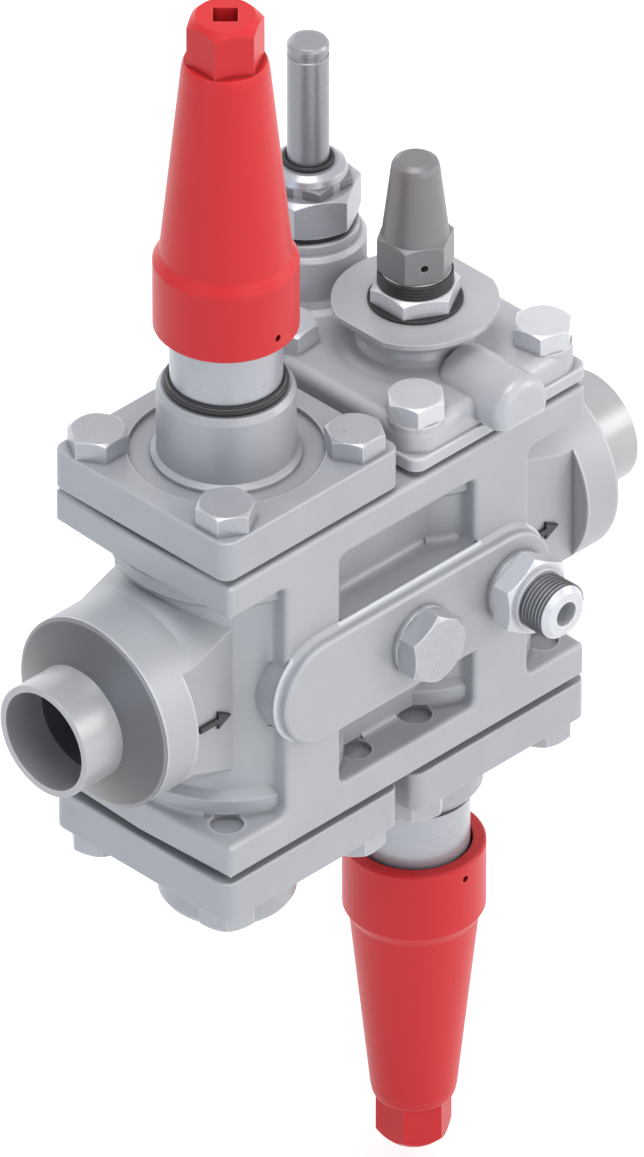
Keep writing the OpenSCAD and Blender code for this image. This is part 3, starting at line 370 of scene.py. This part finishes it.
def make_thread_tree():
    """A ridge wound round Z, with its radius, pitch and turns as inputs."""
    group, tree, enter, leave = open_group(
        "thread_ridge",
        [("Radius", "NodeSocketFloat", 0.01), ("Pitch", "NodeSocketFloat", 0.0015),
         ("Turns", "NodeSocketFloat", 7.0), ("Depth", "NodeSocketFloat", 0.0004),
         ("Material", "NodeSocketMaterial", None)],
        [("Geometry", "NodeSocketGeometry")],
        kind="GeometryNodeTree",
    )
    height = tree.math("MULTIPLY", enter.outputs["Pitch"], enter.outputs["Turns"])
    spiral = tree.add("GeometryNodeCurveSpiral", {
        "Resolution": 32, "Rotations": enter.outputs["Turns"], "Start Radius": enter.outputs["Radius"],
        "End Radius": enter.outputs["Radius"], "Height": height})
    profile = tree.add("GeometryNodeCurvePrimitiveCircle", {
        "Resolution": 4, "Radius": enter.outputs["Depth"]})
    ridge = tree.add("GeometryNodeCurveToMesh", {
        "Curve": spiral.outputs["Curve"], "Profile Curve": profile.outputs["Curve"], "Fill Caps": True})
    real = tree.add("GeometryNodeRealizeInstances", {"Geometry": ridge.outputs["Mesh"]})
    dressed = tree.add("GeometryNodeSetMaterial", {"Geometry": real.outputs["Geometry"],
                                                   "Material": enter.outputs["Material"]})
    tree.link(dressed.outputs["Geometry"], leave.inputs["Geometry"])
    return group


THREAD = make_thread_tree()


def grown_mesh(name, group, values):
    """Runs a geometry tree once and returns its result as a plain mesh."""
    carrier = bpy.data.objects.new(name + "_carrier", bpy.data.meshes.new(name + "_carrier"))
    bpy.context.scene.collection.objects.link(carrier)
    modifier = carrier.modifiers.new("grow", "NODES")
    modifier.node_group = group
    for item in group.interface.items_tree:
        if item.item_type == "SOCKET" and item.in_out == "INPUT" and item.name in values:
            modifier[item.identifier] = values[item.name]
    bpy.context.view_layer.update()
    graph = bpy.context.evaluated_depsgraph_get()
    mesh = bpy.data.meshes.new_from_object(carrier.evaluated_get(graph), depsgraph=graph)
    carrier.modifiers.clear()
    bpy.data.objects.remove(carrier)
    mesh.name = name
    return mesh


def outward(mesh):
    """Merges doubles and turns every face outwards."""
    work = bmesh.new()
    work.from_mesh(mesh)
    bmesh.ops.remove_doubles(work, verts=work.verts, dist=1e-7)
    bmesh.ops.recalc_face_normals(work, faces=work.faces)
    work.to_mesh(mesh)
    work.free()
    return mesh


THREAD_PITCH = 1.5 * MM
THREAD_RADIUS = 10.2 * MM
THREAD_DEPTH = 0.55 * MM
THREAD_TURNS = 6.6
THREAD_START = 2.2 * MM


def gauge_thread():
    mesh = grown_mesh("gauge_thread_ridge", THREAD, {
        "Radius": THREAD_RADIUS, "Pitch": THREAD_PITCH, "Turns": THREAD_TURNS, "Depth": THREAD_DEPTH,
        "Material": THREAD_STEEL})
    start = GAUGE_FRONT + THREAD_START
    mesh.transform(Matrix.Translation((M3_X, start, 0)) @ Matrix.Rotation(-math.pi / 2, 4, "X"))
    add_piece("gauge_thread_ridge", outward(mesh), THREAD_STEEL, "station")


# Closed shapes from rings of points
def lofted(work, rings, closed=False):
    """Skins rings of equal length; open lofts get end caps."""
    loops = [[work.verts.new(point) for point in ring] for ring in rings]
    count = len(loops[0])
    pairs = list(zip(loops, loops[1:])) + ([(loops[-1], loops[0])] if closed else [])
    for first, second in pairs:
        for i in range(count):
            j = (i + 1) % count
            work.faces.new((first[i], first[j], second[j], second[i]))
    if not closed:
        work.faces.new(loops[0])
        work.faces.new(list(reversed(loops[-1])))


SHARP_ANGLE = math.radians(35)


def finished(name, work, material, body, smooth=True):
    """Turns a bmesh of closed shells into a piece with faces outwards."""
    bmesh.ops.recalc_face_normals(work, faces=work.faces)
    mesh = bpy.data.meshes.new(name)
    work.to_mesh(mesh)
    work.free()
    for face in mesh.polygons:
        face.use_smooth = smooth
    if smooth:
        mesh.set_sharp_from_angle(angle=SHARP_ANGLE)
    add_piece(name, mesh, material, body)


def turned(work, axis_x, axis_y, outline_at, segments=96):
    """Sweeps a closed outline of (radius, height) in mm round an upright axis.

    outline_at gives the outline at an angle."""
    rings = []
    for i in range(segments):
        angle = 2 * math.pi * i / segments
        rings.append([((axis_x + r * math.cos(angle)) * MM, (axis_y + r * math.sin(angle)) * MM, z * MM)
                      for r, z in outline_at(angle)])
    lofted(work, rings, closed=True)


def round_section(radius, height, ring, points):
    """Rounded outline of a rubber ring round a neck that stands on a boss."""
    out, up, thick, tall = ring
    turns = [2 * math.pi * i / points for i in range(points)]
    return [(radius + out + thick * math.cos(t), height + up + tall * math.sin(t)) for t in turns]


# Places and heights in millimetres
AXIS_1, AXIS_3, MIDDLE = M1_X / MM, M3_X / MM, CENTRE_X / MM
TUBE_Y = middle(TUBE_NUT_BOX, Y) / MM
TUBE_NUT_TOP = 122.0
TUBE_COLLAR_TOP = TUBE_NUT_BOX[1].z / MM
PLATE_TOP = PLATE_BOX[1].z / MM
SMALL_NUT_TALL = 7.6
NUT_TOP = PLATE_TOP + SMALL_NUT_TALL
DARK_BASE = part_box("m3_spindle_cap")[0].z / MM
BOSS_TOP = COVER_BOX[1].z / MM
NECK_RADIUS = 19.65
GLAND_RADIUS = 20.85
TUBE_RADIUS = 7.4
# Rubber rings: how far out of their neck and above their boss, half the thickness and half the height
GLAND_RING = (0.1, 1.25, 0.75, 1.15)
NECK_RING = (0.5, 2.9, 0.6, 0.6)
TUBE_RING = (0.95, 0.85, 1.0, 1.0)
WASHER_IN, WASHER_OUT, WASHER_THICK, WASHER_EDGE = 13.0, 16.7, 1.2, 0.3


def rubber_ring(name, axis_x, axis_y, outline):
    work = bmesh.new()
    turned(work, axis_x, axis_y, lambda angle: outline)
    finished(name, work, RUBBER, "station")


def dust_rings():
    """Black rubber rings: round each gland and neck, at the tube's foot and under the small nut."""
    for number, axis, side in ((1, AXIS_1, 1), (4, AXIS_3, -1)):
        gland = round_section(GLAND_RADIUS, BOSS_TOP, GLAND_RING, 14)
        rubber_ring(f"m{number}_gland_dust_ring", axis, 0, [(r, side * z) for r, z in gland])
        neck = round_section(NECK_RADIUS, BOSS_TOP, NECK_RING, 10)
        rubber_ring(f"m{number}_neck_wiper", axis, 0, [(r, side * z) for r, z in neck])
    foot_ring = round_section(TUBE_RADIUS, TUBE_COLLAR_TOP, TUBE_RING, 14)
    rubber_ring("m3_tube_ring", AXIS_3, TUBE_Y, foot_ring)
    foot, top = PLATE_TOP - 0.02, PLATE_TOP + WASHER_THICK
    rubber_ring("m3_nut_washer", AXIS_3, 0, [
        (WASHER_IN, foot), (WASHER_OUT - WASHER_EDGE, foot), (WASHER_OUT, PLATE_TOP + WASHER_EDGE),
        (WASHER_OUT, top - WASHER_EDGE), (WASHER_OUT - WASHER_EDGE, top), (WASHER_IN, top)])


SLEEVE_IN, SLEEVE_VALLEY, SLEEVE_PEAK, SLEEVE_RIBS = 12.3, 13.0, 13.35, 4


def nut_sleeve():
    """Black ribbed sleeve between the small nut and its dark cap."""
    low, high = NUT_TOP + 0.05, DARK_BASE - 0.25
    step = (high - low) / SLEEVE_RIBS
    outline = [(SLEEVE_IN, high), (SLEEVE_IN, low), (SLEEVE_VALLEY, low)]
    for i in range(SLEEVE_RIBS):
        base = low + i * step
        outline += [(SLEEVE_PEAK, base + 0.25 * step), (SLEEVE_PEAK, base + 0.75 * step),
                    (SLEEVE_VALLEY, base + step)]
    rubber_ring("m3_nut_sleeve", AXIS_3, 0, outline)


LOCK_NUT_IN, LOCK_NUT_FLATS, LOCK_NUT_TALL = 12.9, 27.6, 4.2
LOCK_NUT_LAND = 0.2
LOCK_NUT_CHAMFER = math.radians(30)
SIXTH = math.pi / 3


def lock_nut():
    """Thin chamfered hexagon nut that locks the solenoid tube."""
    half, low, high = LOCK_NUT_FLATS / 2, TUBE_NUT_TOP + 0.02, TUBE_NUT_TOP + LOCK_NUT_TALL

    def outline_at(angle):
        reach = half / math.cos(angle % SIXTH - SIXTH / 2)
        drop = (reach - half + LOCK_NUT_LAND) * math.tan(LOCK_NUT_CHAMFER)
        return [(LOCK_NUT_IN, low), (reach, low), (reach, high - drop), (half - LOCK_NUT_LAND, high),
                (LOCK_NUT_IN, high)]

    work = bmesh.new()
    turned(work, AXIS_3, TUBE_Y, outline_at)
    finished("m3_tube_lock_nut", work, DARK_CAP, "station")


# Cast fillets where the body's faces meet, with the body's sizes in millimetres
COLUMN_R, COLLAR_R, WEB_Y, RIB_HALF, RIB_Y = 37.5, 40.5, 28.0, 13.2, 42.9
BAR_HALF, BAR_END_HALF, LEDGE_Z = 19.8, 13.6, 48.0
HALF_PITCH = (AXIS_3 - AXIS_1) / 2
# The straight ledge fillets stop short of the bolt holes
HOLE_CLEAR = 8.4
COLLAR_SPREAD = 34
# The bar's fillets run into their neighbours, by millimetres and, round a column, by degrees
WEB_OVERLAP, COLUMN_OVERLAP, TURN_OVERLAP = 1, 1.5, 2
# Those along the ribs stop short of the ribs' front faces
RIB_SHORT = 0.8
# A round one ends on the line from its axis to a point this far outside the rib's flank
RIB_ROOM = 1.0
BAR_FILLET, RIB_FILLET, WEB_FILLET, LEDGE_FILLET, COLLAR_FILLET = 3.0, 3.0, 6.0, 2.5, 1.6


def hollow_corner(radius, sunk=0.25, points=7):
    """Outline of a fillet in a square corner: (out from the first face, out from the second)."""
    hollow = []
    for i in range(points):
        angle = math.radians(-90 - 90 * i / (points - 1))
        hollow.append((radius + radius * math.cos(angle), radius + radius * math.sin(angle)))
    return [(-sunk, -sunk), (radius, -sunk)] + hollow + [(-sunk, radius)]


def straight_fillet(work, radius, start, end, out_a, out_b):
    """Fillet along a straight corner from start to end, with the two ways out of it."""
    start, end, out_a, out_b = (Vector(v) for v in (start, end, out_a, out_b))
    outline = hollow_corner(radius)
    lofted(work, [[(foot + out_a * a + out_b * b) * MM for a, b in outline] for foot in (start, end)])


def round_fillet(work, radius, axis_x, column_r, height, up, first, last, steps=16):
    """Fillet round a column's foot on a flat face, between two angles in degrees."""
    outline = hollow_corner(radius)
    rings = []
    for i in range(steps + 1):
        angle = math.radians(first + (last - first) * i / steps)
        across, deep = math.cos(angle), math.sin(angle)
        reach = [(column_r + a, height + up * b) for a, b in outline]
        rings.append([Vector((axis_x + r * across, r * deep, z)) * MM for r, z in reach])
    lofted(work, rings)


def arc(centre, radius, first, last, steps):
    """Points on a circle between two angles."""
    turns = [first + (last - first) * i / steps for i in range(steps + 1)]
    return [centre + radius * Vector((math.cos(t), math.sin(t))) for t in turns]


def upright(work, outline, axis_x, way, side, low, high):
    """Closed bar with an outline drawn from a column's axis, turned by way along x and side along y."""
    flat = [(axis_x + way * q.x, side * q.y) for q in outline]
    lofted(work, [[Vector((x, y, z)) * MM for x, y in flat] for z in (low, high)])


def rib_fillet(work, radius, axis_x, way, side, low, high):
    """Upright fillet between the round column and the rib's flank."""
    centre = Vector((RIB_HALF + radius, math.sqrt((COLUMN_R + radius) ** 2 - (RIB_HALF + radius) ** 2)))
    on_column = centre * COLUMN_R / (COLUMN_R + radius)
    first = math.atan2(on_column.y - centre.y, on_column.x - centre.x)
    last = math.atan2(0.0, RIB_HALF - centre.x)
    if last > 0:
        last -= 2 * math.pi
    sunk = [Vector((RIB_HALF - 0.3, centre.y)), Vector((RIB_HALF - 0.3, on_column.y - 1.2)),
            Vector((on_column.x, on_column.y - 0.5))]
    upright(work, arc(centre, radius, first, last, 7) + sunk, axis_x, way, side, low, high)


def web_fillet(work, radius, axis_x, way, side, low, high):
    """Upright shallow fillet between the flat web and the round column."""
    out = WEB_Y + radius
    centre = Vector((-math.sqrt((COLUMN_R + radius) ** 2 - out ** 2), out))
    on_column = centre * COLUMN_R / (COLUMN_R + radius)
    last = math.atan2(on_column.y - centre.y, on_column.x - centre.x)
    sunk = [Vector((on_column.x + 0.3, on_column.y - 0.6)), Vector((centre.x, WEB_Y - 0.3))]
    upright(work, arc(centre, radius, -math.pi / 2, last, 6) + sunk, axis_x, way, side, low, high)


COLUMN_TO_WEB = math.sqrt(COLUMN_R ** 2 - WEB_Y ** 2)


def bar_fillets():
    """Above and below the front bar: on the web, round both columns and at the ribs."""
    flat_end = HALF_PITCH - COLUMN_TO_WEB
    rib_angle = math.degrees(math.atan2(COLUMN_R, RIB_HALF + RIB_ROOM))
    web_angle = math.degrees(math.atan2(WEB_Y, -COLUMN_TO_WEB))
    work = bmesh.new()
    for up in (1, -1):
        height = up * BAR_HALF
        straight_fillet(work, BAR_FILLET, (MIDDLE - flat_end - WEB_OVERLAP, -WEB_Y, height),
                        (MIDDLE + flat_end + WEB_OVERLAP, -WEB_Y, height), (0, -1, 0), (0, 0, up))
        for axis, way in ((AXIS_1, 1), (AXIS_3, -1)):
            first, last = -rib_angle, web_angle - 180 - TURN_OVERLAP
            if way < 0:
                first, last = -180 - first, -180 - last
            round_fillet(work, BAR_FILLET, axis, COLUMN_R, height, up, first, last)
            flank = axis + way * RIB_HALF
            straight_fillet(work, BAR_FILLET, (flank, -COLUMN_R + COLUMN_OVERLAP, height),
                            (flank, -RIB_Y + RIB_SHORT, height), (way, 0, 0), (0, 0, up))
    finished("bar_fillets", work, FILLET_STEEL, "station")


def rib_fillets():
    """Upright ones along the ribs and the web, broken by the bar in front."""
    whole = ((-LEDGE_Z, LEDGE_Z),)
    work = bmesh.new()
    for side in (-1, 1):
        inner = ((BAR_HALF, LEDGE_Z), (-LEDGE_Z, -BAR_HALF)) if side < 0 else whole
        outer = ((BAR_END_HALF, LEDGE_Z), (-LEDGE_Z, -BAR_END_HALF)) if side < 0 else whole
        for axis, way in ((AXIS_1, 1), (AXIS_3, -1)):
            for low, high in inner:
                rib_fillet(work, RIB_FILLET, axis, way, side, low, high)
                web_fillet(work, WEB_FILLET, axis, -way, side, low, high)
            for low, high in outer:
                rib_fillet(work, RIB_FILLET, axis, -way, side, low, high)
    finished("rib_fillets", work, FILLET_STEEL, "station")


def ledge_fillets():
    """Under the flanges: on the web between the bolt holes, and round the columns' outer sides."""
    work = bmesh.new()
    for up in (1, -1):
        height = up * LEDGE_Z
        for side in (-1, 1):
            straight_fillet(work, LEDGE_FILLET, (MIDDLE - HOLE_CLEAR, side * WEB_Y, height),
                            (MIDDLE + HOLE_CLEAR, side * WEB_Y, height), (0, side, 0), (0, 0, -up))
        for axis, turn in ((AXIS_1, 180), (AXIS_3, 0)):
            round_fillet(work, COLLAR_FILLET, axis, COLLAR_R, height, -up, turn - COLLAR_SPREAD,
                         turn + COLLAR_SPREAD, 24)
    finished("ledge_fillets", work, FILLET_STEEL, "station")


# Outline of a flow arrow in millimetres
ARROW = [(-7.4, -1.2), (1.4, -1.2), (1.4, -3.6), (7.6, 0.0), (1.4, 3.6), (1.4, 1.2), (-7.4, 1.2)]
ARROW_PROUD = 1.3 * MM
ARROW_SUNK = 0.3 * MM
ARROW_FROM_MIDDLE = 80.3
ARROW_Z = -5.0
PAD_Y = 28 * MM
# How far out each outline lies, with its share of the full width
ARROW_STEPS = ((-ARROW_SUNK, 1.0), (ARROW_PROUD * 0.7, 0.97), (ARROW_PROUD, 0.86))


def flow_arrows():
    """Raised painted arrows along the flow, one on each hub pad, front and back."""
    for word, side in (("front", -1), ("back", 1)):
        work = bmesh.new()
        for x in (-ARROW_FROM_MIDDLE, ARROW_FROM_MIDDLE):
            rings = []
            for out, share in ARROW_STEPS:
                long_share = 1 - (1 - share) * 0.3
                rings.append([(CENTRE_X + (x + along * long_share) * MM, side * (PAD_Y + out),
                               (across * share + ARROW_Z) * MM) for along, across in ARROW])
            lofted(work, rings)
        finished(f"flow_arrows_{word}", work, ARROW_PAINT, "station", smooth=False)


# Floor, light and camera
FLOOR_HALF = 30.0
FLOOR_WHITE = (0.82, 0.82, 0.82, 1)
WHITE = (1, 1, 1, 1)
# Distance in metres over which the floor's glow rises, and its strength there
GLOW_START, GLOW_END, GLOW_NEAR, GLOW_FAR = 0.8, 4.0, 0.42, 1.0
# Strength of the unseen light from straight below and from straight above
LIGHT_BELOW, LIGHT_ABOVE = 0.34, 0.66


def seen_rays(tree):
    """1 for the rays that show the background: those of the camera, mirrors and glass."""
    path = tree.add("ShaderNodeLightPath").outputs
    return tree.math("MAXIMUM", path["Is Camera Ray"],
                     tree.math("MAXIMUM", path["Is Glossy Ray"], path["Is Transmission Ray"]))


def pale_floor():
    """Floor that glows a little near the part and fades into the white background."""
    half, z = FLOOR_HALF, FLOOR_Z
    mesh = bpy.data.meshes.new("floor")
    mesh.from_pydata([(-half, -half, z), (half, -half, z), (half, half, z), (-half, half, z)], [],
                     [(0, 1, 2, 3)])
    floor = bpy.data.objects.new("floor", mesh)
    bpy.context.scene.collection.objects.link(floor)
    material, tree, shader = blank_material("pale_floor")
    shader.inputs["Base Color"].default_value = FLOOR_WHITE
    shader.inputs["Roughness"].default_value = 0.9
    shader.inputs["Specular IOR Level"].default_value = 0.0
    shader.inputs["Emission Color"].default_value = WHITE
    place = tree.add("ShaderNodeTexCoord").outputs["Object"]
    away = tree.add("ShaderNodeVectorMath", {0: place}, operation="LENGTH").outputs["Value"]
    glow = tree.add("ShaderNodeMapRange", {"Value": away, "From Min": GLOW_START, "From Max": GLOW_END,
                                           "To Min": GLOW_NEAR, "To Max": GLOW_FAR})
    strength = tree.math("MULTIPLY", seen_rays(tree), glow.outputs["Result"])
    tree.link(strength, shader.inputs["Emission Strength"])
    mesh.materials.append(material)


def studio():
    """White background that lights the part softly, a little more from above."""
    world = bpy.data.worlds.new("studio")
    bpy.context.scene.world = world
    world.use_nodes = True
    world.node_tree.nodes.clear()
    sky = Tree(world.node_tree)
    seen = seen_rays(sky)
    way = sky.add("ShaderNodeTexCoord").outputs["Generated"]
    height = sky.add("ShaderNodeSeparateXYZ", {"Vector": way})
    soft = sky.add("ShaderNodeMapRange", {"Value": height.outputs["Z"], "From Min": -1.0,
                                          "From Max": 1.0, "To Min": LIGHT_BELOW, "To Max": LIGHT_ABOVE})
    hidden = sky.math("SUBTRACT", 1.0, seen)
    strength = sky.math("ADD", seen, sky.math("MULTIPLY", hidden, soft.outputs["Result"]))
    back = sky.add("ShaderNodeBackground", {"Color": WHITE, "Strength": strength})
    out = sky.add("ShaderNodeOutputWorld")
    sky.link(back.outputs[0], out.inputs["Surface"])


def soft_lamp(name, towards, size, power, colour):
    """Square lamp that shines at the body's centre from the given place."""
    data = bpy.data.lights.new(name, "AREA")
    data.size = size
    data.energy = power
    data.color = colour
    lamp = bpy.data.objects.new(name, data)
    bpy.context.scene.collection.objects.link(lamp)
    lamp.location = Vector((CENTRE_X, 0, 0)) + Vector(towards)
    lamp.rotation_mode = "QUATERNION"
    lamp.rotation_quaternion = (-Vector(towards)).to_track_quat("-Z", "Y")


# Name, place from the body's centre in metres, size, power and colour
LAMPS = (
    ("key_right", (2.0, -1.7, 0.9), 1.3, 21, (1.0, 0.975, 0.94)),
    ("front", (-0.1, -2.3, 1.0), 2.0, 18, (1.0, 0.98, 0.95)),
    ("top", (-0.3, -0.2, 2.7), 1.4, 38, (1.0, 1.0, 1.0)),
    ("fill_left", (-2.5, -0.2, 0.5), 1.4, 8, (0.5, 0.75, 1.0)),
    ("back", (0.5, 2.4, 0.8), 2.0, 13, (0.95, 0.97, 1.0)),
)

FRAME_H = 1157
PIXELS_PER_MM = 2.885
LENS = 940.0
SENSOR = 36.0
SHIFT_RIGHT, SHIFT_UP = 0.95, 3.0
SIGHT = Vector((1, 1, -1)).normalized()


def camera():
    """Camera along the drawing's isometric line of sight, with a very long lens."""
    data = bpy.data.cameras.new("camera")
    data.lens = LENS
    data.sensor_width = SENSOR
    data.dof.use_dof = False
    data.shift_x = SHIFT_RIGHT / FRAME_H
    data.shift_y = SHIFT_UP / FRAME_H
    data.clip_end = 100
    distance = FRAME_H / PIXELS_PER_MM * MM * LENS / SENSOR
    shot = bpy.data.objects.new("camera", data)
    bpy.context.scene.collection.objects.link(shot)
    shot.location = Vector((CENTRE_X, 0, 0)) - SIGHT * distance
    shot.rotation_mode = "QUATERNION"
    shot.rotation_quaternion = SIGHT.to_track_quat("-Z", "Y")
    bpy.context.scene.camera = shot


bpy.context.scene.view_settings.view_transform = "Standard"
camera()
for lamp_values in LAMPS:
    soft_lamp(*lamp_values)
pale_floor()
studio()
dress_nodes()
gauge_thread()
flow_arrows()
bar_fillets()
rib_fillets()
ledge_fillets()
dust_rings()
nut_sleeve()
lock_nut()
